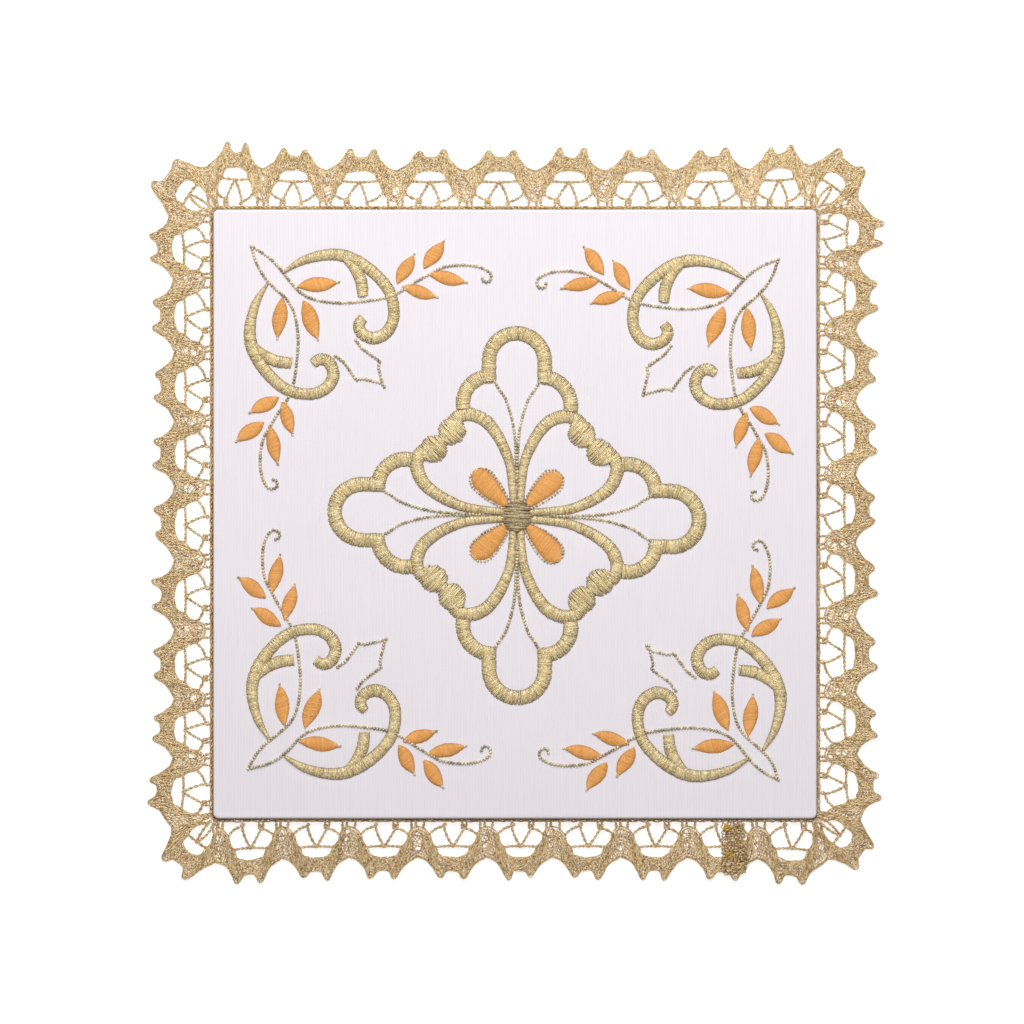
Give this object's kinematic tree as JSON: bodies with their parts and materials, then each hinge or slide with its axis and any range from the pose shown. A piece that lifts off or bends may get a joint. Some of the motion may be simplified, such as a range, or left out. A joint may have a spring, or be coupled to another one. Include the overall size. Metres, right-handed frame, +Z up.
{
  "type": "chalice pall",
  "caption": "Stiff square altar-linen cover in white cloth with raised gold and orange embroidery and a scalloped gold lace edging, laid over a chalice.",
  "frame": {"origin": "middle of the panel's flat underside, on the surface that the pall lies on", "axes": "+Z up through the panel, +Y towards the top of the embroidered design, +X to its right"},
  "size_m": [0.1958, 0.1974, 0.0043],
  "materials": {
    "white_cloth": "fine ribbed white cloth, matte",
    "gold_lace": "metallic gold bobbin lace",
    "gold_thread": "metallic gold satin stitch",
    "orange_thread": "silky orange satin stitch"
  },
  "bodies": {
    "root": {"pall_panel": "white_cloth", "lace_edging": "gold_lace"}
  },
  "joints": []
}
